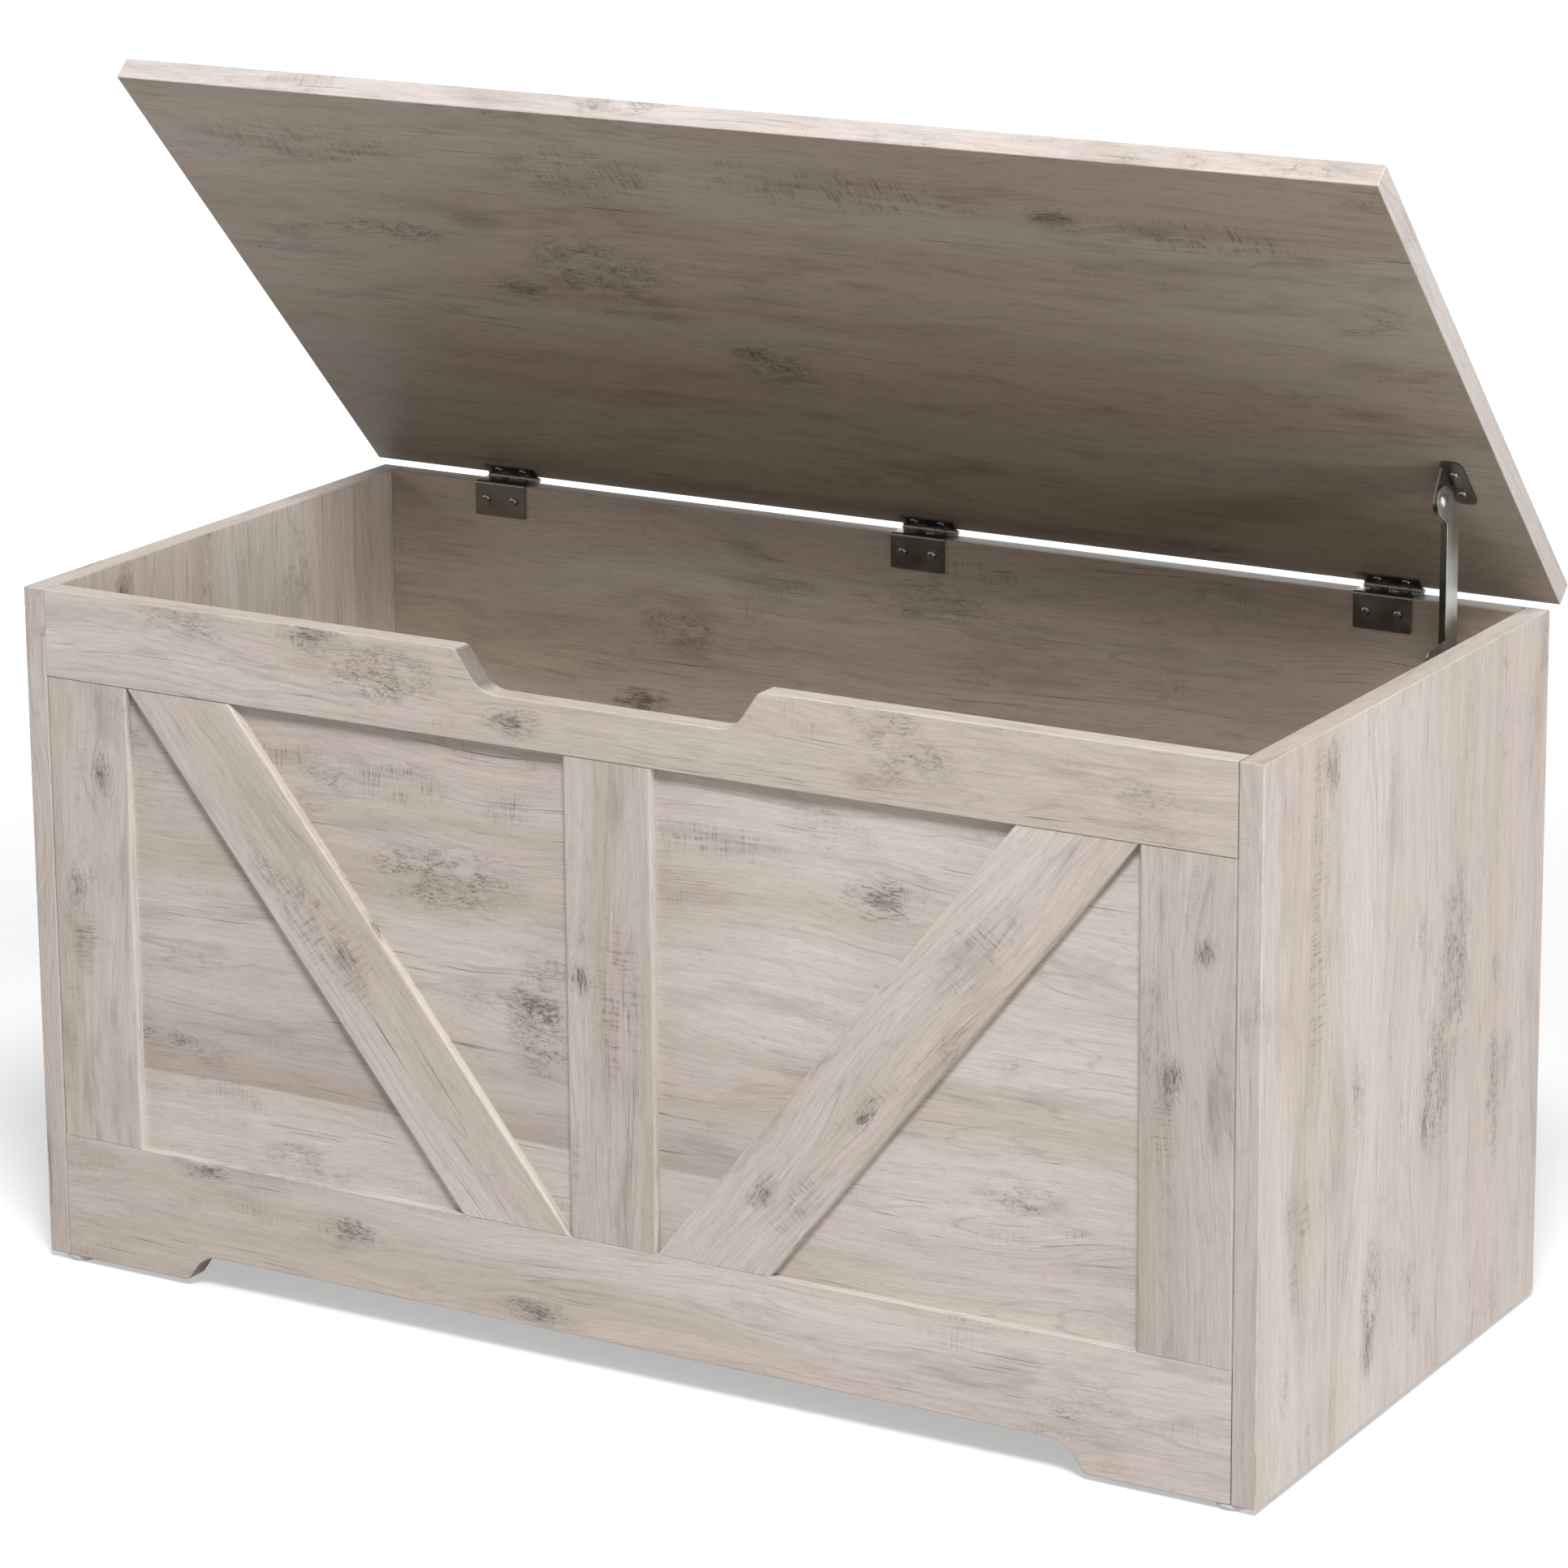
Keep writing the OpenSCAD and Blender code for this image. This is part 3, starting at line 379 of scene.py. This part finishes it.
class WoodPrint(Finish):
    """A printed film in the making, in millimetres along, across and through the board.

    Each layer is printed over the ones before it. A spot, such as a knot, is written as
    (along, across, size along, size across)."""

    def __init__(self, name, origin, along, across, seed, shade):
        super().__init__(name)
        self.seed, self.shade = seed, shade
        through = Vector(along).cross(Vector(across))
        turn = Matrix((along, across, through)).transposed().to_euler()
        board = self.placed(self.at, turn, origin, mm)
        self.board = self.parts(board)
        self.face = self.parts(self.vectors("ABSOLUTE", self.placed(self.facing, turn)))

        # The tape on the boards' edges has its grain along each edge
        edge_on = 0.7
        long_edge = self.whole(self.board[0], self.board[2], self.board[1])
        end_edge = self.whole(self.board[1], self.board[2], self.board[0])
        on_long_edge = self.maths("GREATER_THAN", self.face[1], edge_on)
        on_end_edge = self.maths("GREATER_THAN", self.face[0], edge_on)
        place = self.choose(on_long_edge, board, long_edge)
        self.place = self.choose(on_end_edge, place, end_edge)

    def cloud(self, number, size, **kind):
        """Noise that lies on the board. The number picks one that no other layer has."""
        return self.noise(self.place, size, self.seed + number, **kind)

    def grain(self, number, size, **kind):
        """Noise that runs with the grain."""
        return self.noise(self.flow, size, self.seed + number, **kind)

    def spot(self, where):
        """Place in an oval spot, and distance from its middle, both 1 at its rim."""
        u, v, size_u, size_v = where
        inside = self.vectors(
            "MULTIPLY_ADD", self.place, (1 / size_u, 1 / size_v, 0), (-u / size_u, -v / size_v, 0)
        )
        return inside, self.vectors("LENGTH", inside)

    def print_over(self, amount, ink):
        self.colour = self.blend(amount, self.colour, tone(*ink, self.shade))

    def tint(self, level):
        self.colour = self.vectors("MULTIPLY", self.colour, self.whole(level, level, level))

    def lay_grain(self, knots):
        """The grain wanders, and flows round each knot."""
        sway = 17.0
        knot_reach, knot_push = 3.4, 0.6
        drift = self.cloud(0, (230, 60, 60), detail=1.0)
        drift = self.maths("MULTIPLY_ADD", drift, 2 * sway, -sway)
        for knot in knots:
            inside, away = self.spot(knot)
            push = self.step(away, knot_reach, 0.0, 0.0, -knot_push * knot[3])
            drift = self.maths("MULTIPLY_ADD", self.parts(inside)[1], push, drift)
        self.drift = drift
        self.flow = self.vectors("ADD", self.place, self.whole(0.0, drift, 0.0))

    def print_bands(self, stain):
        """Broad bands of pale and warm wood, a rosy hue and grey smudges."""
        bands = self.step(self.grain(3, (700, 62, 62), detail=3.0, rough=0.45), 0.36, 0.64)
        self.colour = self.blend(
            bands, tone(*washed_pale, self.shade), tone(*washed_warm, self.shade)
        )
        hue = self.grain(5, (420, 16, 16))
        self.print_over(self.step(hue, 0.42, 0.66, high=0.5), washed_rose)
        smudge = self.grain(7, (95, 22, 22), detail=4.0, rough=0.62)
        self.print_over(self.step(smudge, 0.50, 0.78, high=stain), smudge_grey)

    def print_rings(self):
        """Faint year rings, broken up along the grain."""
        ring_count, ring_width = 18.0, 0.11
        rings = self.grain(11, (480, 48, 48), detail=3.0, rough=0.42)
        rings = self.maths("PINGPONG", self.maths("MULTIPLY", rings, ring_count), 0.5)
        rings = self.step(rings, ring_width, 0.0)
        broken = self.step(self.grain(12, (130, 12, 12)), 0.42, 0.68, 0.03, 0.26)
        self.print_over(self.maths("MULTIPLY", rings, broken), ring_brown)

    def print_plank_line(self, across, clear, gone):
        """The line between two printed planks, smudged above it and paler below.

        It is clear at one place along the grain and gone at the other."""
        line_blur, line_straightness = 0.6, 0.82
        smudge_height, smudge_amount, pale_amount = 60.0, 0.42, 0.45
        past = self.maths("SUBTRACT", self.parts(self.flow)[1], across)
        past = self.maths("MULTIPLY_ADD", self.drift, -line_straightness, past)
        shown = self.step(self.board[0], gone, clear)
        above = self.maths("MULTIPLY", shown, self.step(past, -line_blur, line_blur))
        smudge = self.step(past, smudge_height, 0.0, 0.10, smudge_amount)
        self.print_over(self.maths("MULTIPLY", above, smudge), smudge_grey)
        below = self.step(past, line_blur, -line_blur, high=pale_amount)
        self.print_over(self.maths("MULTIPLY", shown, below), fresh_pale)

    def print_fibres(self):
        """Fine fibres, streaks and pores. Gives the fibres and the streaks."""
        fibres = self.grain(13, (22, 0.5, 0.5), detail=3.0, rough=0.7)
        streaks = self.grain(17, (110, 2.6, 2.6), detail=5.0, rough=0.7)
        fibre_tint, streak_tint = 0.11, 0.08
        self.tint(self.maths(
            "ADD", self.step(fibres, 0.22, 0.78, -fibre_tint, fibre_tint),
            self.step(streaks, 0.25, 0.75, 1 - streak_tint, 1 + streak_tint),
        ))
        pores = self.grain(18, (7, 0.45, 0.45), detail=1.0)
        self.print_over(self.step(pores, 0.60, 0.72, high=0.30), ring_brown)
        return fibres, streaks

    def long_cracks(self):
        """Long thin cracks in loose groups."""
        cracks = self.step(self.grain(19, (75, 0.9, 0.9), rough=0.55), 0.63, 0.71)
        groups = self.step(self.grain(23, (170, 14, 14), detail=3.0), 0.43, 0.64, low=0.04)
        return self.maths("MULTIPLY", cracks, groups)

    def patches(self, number, size, start, full, strength, spots):
        """Patches that noise strews thinly, and one at each spot of the list."""
        spot_start, spot_full = 1.1, 0.3
        patches = self.step(self.cloud(number, size, detail=3.0), start, full, high=strength)
        for where in spots:
            patch = self.step(self.spot(where)[1], spot_start, spot_full)
            patches = self.maths("MAXIMUM", patches, patch)
        return patches

    def crackle(self, spots):
        """Short wavy cracks in patches. Gives the cracks and the patches."""
        line_edge, line_core = 0.056, 0.012
        web = self.grain(29, (9, 2.4, 2.4), detail=3.0, rough=0.6, twist=1.0)
        web = self.maths("ABSOLUTE", self.maths("SUBTRACT", web, 0.5))
        gaps = self.step(self.grain(30, (7, 3, 3)), 0.32, 0.52)
        dashes = self.maths("MULTIPLY", self.step(web, line_edge, line_core), gaps)
        patches = self.patches(31, (120, 50, 50), 0.58, 0.74, strength=0.8, spots=spots)
        ragged = self.step(self.cloud(33, (24, 12, 12), detail=3.0, rough=0.6), 0.34, 0.54)
        patches = self.maths("MULTIPLY", patches, ragged)
        return self.maths("MULTIPLY", dashes, patches), patches

    def saw_marks(self, spots):
        """Saw marks across the grain, in patches. Gives the marks and the patches."""
        marks = self.step(self.cloud(37, (1.3, 15, 15), detail=3.0, rough=0.65), 0.50, 0.64)
        patches = self.patches(41, (80, 26, 26), 0.56, 0.74, strength=0.7, spots=spots)
        ragged = self.step(self.grain(42, (34, 4, 4), detail=3.0, rough=0.6), 0.34, 0.62)
        patches = self.maths("MULTIPLY", patches, ragged)
        return self.maths("MULTIPLY", marks, patches), patches

    def print_marks(self, worn, marks, dark):
        """Worn patches, saw marks and cracks, each darker than the one before."""
        worn_amount, marks_amount, dark_amount = 0.22, 0.75, 0.76
        self.print_over(self.maths("MULTIPLY", worn, worn_amount), smudge_grey)
        self.print_over(self.maths("MULTIPLY", marks, marks_amount), ring_brown)
        self.print_over(self.maths("MULTIPLY", dark, dark_amount), crack_black)

    def print_knots(self, knots):
        """Ragged grey smudges, drawn out along the grain. Gives their short dark cracks."""
        blur_reach, core_reach, halo_reach = 1.6, 0.8, 1.8
        halo_amount, core_amount, crack_amount = 0.28, 0.64, 0.62
        blur = self.cloud(43, (17, 6, 6), detail=4.0, rough=0.7)
        torn = self.cloud(45, (9, 2.2, 2.2), detail=3.0, rough=0.65)
        torn = self.step(torn, 0.40, 0.60, low=0.35)
        speck = self.step(self.cloud(47, (5.0, 1.3, 2), rough=0.6), 0.50, 0.60)
        core, halo = 0.0, 0.0
        for knot in knots:
            smear = self.maths("MULTIPLY_ADD", blur, 2 * blur_reach, -blur_reach)
            away = self.maths("ADD", self.spot(knot)[1], smear)
            core = self.maths("MAXIMUM", core, self.step(away, core_reach, 0.0))
            halo = self.maths("MAXIMUM", halo, self.step(away, halo_reach, 0.3))
        core = self.maths("MULTIPLY", core, torn)
        cracks = self.maths("MULTIPLY", halo, speck)
        self.print_over(self.maths("MULTIPLY", halo, halo_amount), knot_grey)
        self.print_over(self.maths("MULTIPLY", core, core_amount), knot_grey)
        self.print_over(self.maths("MULTIPLY", cracks, crack_amount), crack_black)
        return cracks


def washed_wood(
    name, origin, along, across, seed, shade=(1, 1, 1), knots=(), crackle=(), sawn=(),
    plank=None, stain=0.45, painted_shade_ramp=None, rim=None, ends=None,
):
    """The film of one board, with knots, crackle and saw marks at the spots that are listed.

    A plank is (across, clear, gone), as for print_plank_line. Stain is the strength of the
    grey smudges. A shade ramp (from, to, level) is painted shade: the print is darkened to that
    level at the first place across the grain, and is full at the second. Rim, the level on the
    board's edges, is painted shade there, and ends a further level on the edges across the grain."""
    wood = WoodPrint(name, origin, along, across, seed, shade)
    wood.lay_grain(knots)
    wood.print_bands(stain)
    wood.print_rings()
    if plank:
        wood.print_plank_line(*plank)
    fibres, streaks = wood.print_fibres()
    dashes, crackled = wood.crackle(crackle)
    marks, scarred = wood.saw_marks(sawn)
    dark = wood.maths("MAXIMUM", wood.long_cracks(), dashes)
    wood.print_marks(wood.maths("MAXIMUM", scarred, crackled), marks, dark)
    if knots:
        dark = wood.maths("MAXIMUM", dark, wood.print_knots(knots))
    # Painted shade: darkens the print along a ramp across the grain
    if painted_shade_ramp:
        wood.tint(wood.step(wood.board[1], *painted_shade_ramp))
    # Painted shade: darkens the film on the board's edges
    if rim:
        wood.tint(wood.step(wood.face[2], 0.5, 1.0, rim))
    if ends:
        wood.tint(wood.step(wood.face[0], 0.2, 0.7, 1.0, ends))

    # Fibres stand up a little, cracks and saw marks lie deeper
    fibre_height, mark_depth = 0.35, 0.3
    height = wood.maths("SUBTRACT", wood.maths("MULTIPLY", fibres, fibre_height), dark)
    height = wood.maths("SUBTRACT", height, wood.maths("MULTIPLY", marks, mark_depth))
    return wood.put(
        Base_Color=wood.colour,
        Roughness=wood.step(streaks, 0.2, 0.8, 0.48, 0.60),
        Specular_IOR_Level=0.35,
        Normal=wood.bump(height, 0.3, 0.15 * mm),
    )


for side, side_print in side_prints.items():
    node = "side_panel_" + side
    outer_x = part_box(node)[0].x if side == "left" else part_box(node)[1].x
    cover(eased_copy(node, board_edge_r), washed_wood(
        "side_film_" + side, (outer_x, front_face, 0), up, rear,
        stain=side_stain, rim=board_edge_shade, **side_print,
    ))

# Back panel: one board between the sides, the same film with the grain lying. Bottom panel:
# one board between the sides, the rails and the back panel. The back panel's inner face and
# the whole bottom panel carry painted shade, darker and warmer than the plain film.
chest_middle = (0, 0, 0)
# Painted shade: the inner films are darkened and warmed by this much
painted_inner_shade = (0.78, 0.74, 0.67)
same_way = 0.9


def face_cover(piece, material, outward):
    """Puts a second material on the faces of a board that look one way."""
    piece.data.materials.append(material)
    for face in piece.data.polygons:
        if face.normal.dot(Vector(outward)) > same_way:
            face.material_index = 1


back = eased_copy("back_panel", board_edge_r)
cover(back, washed_wood(
    "back_inner_film", chest_middle, right, up, seed=17.0, shade=painted_inner_shade,
    knots=((-210, 300, 15, 8),),
))
face_cover(back, washed_wood("back_outer_film", chest_middle, right, up, seed=83.0), rear)
cover(eased_copy("bottom_panel", board_edge_r), washed_wood(
    "bottom_film", chest_middle, right, rear, seed=21.0, shade=painted_inner_shade,
))

# Recessed front panel: a thinner board behind the strips. Its print shows two wide planks,
# with the line between them clear at the left and gone at the right.
cover(nodes["front_panel"], washed_wood(
    "front_panel_film", chest_middle, right, up, seed=25.0,
    knots=((-58, 222, 15, 8), (180, 321, 15, 10)),
    crackle=((-120, 290, 70, 26), (-50, 205, 30, 36), (-335, 158, 50, 8)),
    sawn=((70, 340, 60, 12), (-150, 345, 44, 16), (-230, 352, 40, 10), (-75, 340, 24, 14)),
    plank=(136.0, 50.0, 130.0),
))

# Rails: boards across the front with the grain lying. The upper one has the finger notch,
# the lower one the flat arch. Their cut ends are darker.
# Painted shade on the lower rail's edges, darker than on the other boards' edges, to tone down
# the highlight on its top edge
foot_edge_shade = 0.8
joint_ends = 0.4
cover(eased_copy("top_rail", board_edge_r), washed_wood(
    "top_rail_film", chest_middle, right, up, seed=31.0,
    knots=((-206, 430, 13, 9), (-64, 394, 15, 7)), crackle=((-158, 412, 54, 22),),
    sawn=((-210, 431, 32, 14),), rim=board_edge_shade, ends=joint_ends,
))
cover(eased_copy("bottom_rail", board_edge_r), washed_wood(
    "bottom_rail_film", chest_middle, right, up, seed=37.0,
    knots=((-189, 59, 14, 7), (-56, 32, 15, 6), (-296, 78, 14, 5)),
    rim=foot_edge_shade, ends=joint_ends,
))

# Uprights: three strips glued on the recessed panel, with the grain upright and their front
# edges rounded. Their print is darkened a little towards the right by painted shade.
# Painted shade on the strips' rounded edges, to tone down their highlight
strip_edge_shade = 0.84
stile_stain = 0.6
stile_prints = {
    "stile_left": {
        "seed": 41.0, "shade": (1.0, 1.0, 1.0),
        "knots": ((322, -364, 11, 6), (247, -387, 9, 5)), "sawn": ((215, -380, 30, 16),),
    },
    # Painted shade: the centre and right strips are darkened
    "stile_centre": {
        "seed": 43.0, "shade": (0.92, 0.92, 0.92),
        "knots": ((244, -20, 8, 6),), "sawn": ((232, 6, 66, 22),),
    },
    "stile_right": {
        "seed": 47.0, "shade": (0.88, 0.88, 0.88),
        "knots": ((322, 386, 8, 5), (246, 364, 11, 7)), "sawn": ((216, 361, 34, 11),),
    },
}
for node, stile_print in stile_prints.items():
    cover(nodes[node], washed_wood(
        node + "_film", chest_middle, up, right,
        stain=stile_stain, rim=strip_edge_shade, ends=joint_ends, **stile_print,
    ))

# Braces: two strips glued on the recessed panel, each from an upper outer corner down to
# the centre upright, with the grain along them.
brace_lean = radians(38.8)
brace_prints = {
    "brace_left": {"seed": 53.0, "knots": ((4, 0, 9, 6),), "sawn": ((20, -5, 60, 22),)},
    "brace_right": {
        "seed": 59.0, "knots": ((-128, -4, 10, 6), (-40, 12, 9, 5)),
        "sawn": ((90, 0, 50, 20), (-118, 14, 34, 12)),
    },
}
for node, brace_print in brace_prints.items():
    way = -1 if node == "brace_left" else 1
    low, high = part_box(node)
    cover(nodes[node], washed_wood(
        node + "_film", (low + high) / 2, (way * sin(brace_lean), 0, cos(brace_lean)),
        (cos(brace_lean), 0, -way * sin(brace_lean)),
        rim=strip_edge_shade, ends=joint_ends, **brace_print,
    ))

# Lid: one board with an overhang at the sides and at the front, grain along its length. The
# film on its underside carries painted shade: darker and warmer than on top and on the edges,
# and darker still towards the hinges.
lid_open = radians(47.2)
lid_hinge = next(joint for joint in frame["joints"] if joint["name"] == "lid_hinge")
lid_axis = lid_hinge["pos_m"]
lid_top_shade = (0.95, 0.96, 0.99)
# Painted shade on the lid's underside, darker and warmer all over
lid_under_painted_shade = (0.85, 0.81, 0.74)
lid_stain = 0.6
to_hinges = Vector((0, cos(lid_open), -sin(lid_open)))
out_below = Vector((0, -sin(lid_open), -cos(lid_open)))
lid = eased_copy("lid_panel", board_edge_r)
cover(lid, washed_wood(
    "lid_film", lid_axis, right, to_hinges, seed=71.0, shade=lid_top_shade,
))
# Painted shade towards the hinges: the underside's print is darkened there along the shade ramp
face_cover(lid, washed_wood(
    "lid_under_film", lid_axis, right, to_hinges, seed=67.0, shade=lid_under_painted_shade,
    knots=((-208, -219, 15, 9), (-61, -175, 12, 6), (205, -344, 13, 8)),
    crackle=((-145, -245, 64, 46), (-285, -268, 70, 14), (-50, -162, 40, 26)),
    sawn=((-305, -350, 110, 26), (-110, -345, 80, 34), (60, -350, 130, 26), (290, -338, 100, 20)),
    stain=lid_stain, painted_shade_ramp=(-40.0, -280.0, 0.66),
), out_below)

# Glides: a moulded polyethylene disc under each corner, held by a nail in its middle. The
# plastic is pale and slightly cloudy, and lets a little light in.
glide_plastic = Finish("glide_plastic")
cloud = glide_plastic.noise(glide_plastic.at, (4 * mm,) * 3, 1.0, detail=3.0)
grit = glide_plastic.noise(glide_plastic.at, (0.4 * mm,) * 3, 2.0)
glide_plastic.put(
    Base_Color=glide_plastic.blend(cloud, tone(206, 203, 212), tone(222, 220, 228)),
    Roughness=glide_plastic.step(cloud, 0.3, 0.7, 0.28, 0.38),
    Subsurface_Weight=0.15,
    Subsurface_Scale=2 * mm,
    Normal=glide_plastic.bump(grit, 0.1, 0.05 * mm),
)
cover(eased_copy("glides", 0), glide_plastic.material)


# Nails, cam locks and cam bolts: steel with a bright zinc coat, slightly cloudy. The nails
# hold the glides, and the cams and their bolts hold the boards together.
def plated_steel(name, dark, bright, smooth, dull, along=(1, 1, 1), front=None):
    """Plated steel: cloudy colour, and brush lines along the directions with a long size.

    The front, where it is given, is a painted dark reflection on the faces that look forward."""
    cloud_share = 0.6
    steel = Finish(name)
    cloud = steel.noise(steel.at, (14 * mm,) * 3, 3.0, detail=3.0)
    lines = steel.noise(steel.at, [0.25 * mm * a for a in along], 5.0, detail=3.0, rough=0.7)
    cloudy = steel.maths("MULTIPLY", cloud, cloud_share)
    shine = steel.maths("MULTIPLY_ADD", lines, 1 - cloud_share, cloudy)
    colour = steel.blend(shine, dark, bright)
    # Painted dark reflection on the faces that look forward
    if front:
        colour = steel.blend(steel.step(steel.parts(steel.facing)[1], -0.6, -0.9), colour, front)
    return steel.put(
        Base_Color=colour,
        Metallic=1.0,
        Roughness=steel.step(shine, 0.3, 0.7, smooth, dull),
        Normal=steel.bump(lines, 0.08, 0.05 * mm),
    )


bright_zinc = plated_steel("bright_zinc", tone(168, 170, 172), tone(212, 213, 214), 0.20, 0.34)
for node in ("glide_nails", "cam_locks", "cam_bolts"):
    cover(eased_copy(node, 0), bright_zinc)

# Dowels: plain beech, turned, with chamfered ends. They line the boards up beside the cam
# bolts, and show the short dark flecks of that wood.
beech = Finish("beech")
rays = beech.noise(beech.at, (14 * mm, 0.8 * mm, 0.8 * mm), 1.0, detail=3.0, rough=0.6)
flecks = beech.noise(beech.at, (2.5 * mm, 0.3 * mm, 0.3 * mm), 4.0)
flecks = beech.step(flecks, 0.6, 0.7, high=0.4)
pale_beech = beech.blend(rays, tone(200, 166, 122), tone(222, 193, 150))
beech.put(
    Base_Color=beech.blend(flecks, pale_beech, tone(160, 120, 82)),
    Roughness=0.6,
    Normal=beech.bump(rays, 0.2, 0.1 * mm),
)
cover(eased_copy("dowels", 0), beech.material)

# Hinges: two leaves of pressed steel with a dark satin finish, folded round a pin. The fixed
# leaf is screwed inside the back panel, the other under the lid.
leaf_edge_r = 0.15 * mm
brushed_along = (12, 1, 1)
dark_satin = plated_steel(
    "dark_satin", tone(88, 84, 79), tone(126, 121, 114), 0.26, 0.40, brushed_along,
)
screw_steel = plated_steel("screw_steel", tone(110, 107, 103), tone(150, 147, 142), 0.22, 0.36)
for hinge in ("left", "centre", "right"):
    for leaf in ("hinge_body_leaf_", "hinge_lid_leaf_"):
        cover(eased_copy(leaf + hinge, leaf_edge_r, False), dark_satin)
for node in ("hinge_pins", "hinge_body_screws", "hinge_lid_screws"):
    cover(eased_copy(node, 0), screw_steel)

# Lid stay: a bracket under the lid, an upper arm with folded rims and a slotted foot, a lower
# arm on a friction hub, and a wall plate screwed to the right side.
arm_edge_r = 0.2 * mm
brushed_up = (1, 1, 14)
# The arms carry a painted dark reflection on their forward faces
arm_zinc = plated_steel(
    "arm_zinc", tone(176, 178, 172), tone(200, 202, 196), 0.24, 0.36, brushed_up,
    front=tone(88, 86, 81),
)
for node in ("stay_upper_arm", "stay_lower_arm"):
    cover(eased_copy(node, arm_edge_r, False), arm_zinc)
for node in ("stay_lid_bracket", "stay_wall_plate", "stay_friction_hub"):
    cover(eased_copy(node, arm_edge_r, False), dark_satin)
for node in ("stay_wall_screws", "stay_bracket_screws"):
    cover(eased_copy(node, 0), screw_steel)
for node in ("stay_bracket_rivet", "stay_wall_rivet", "stay_knee_pin"):
    cover(eased_copy(node, 0), bright_zinc)
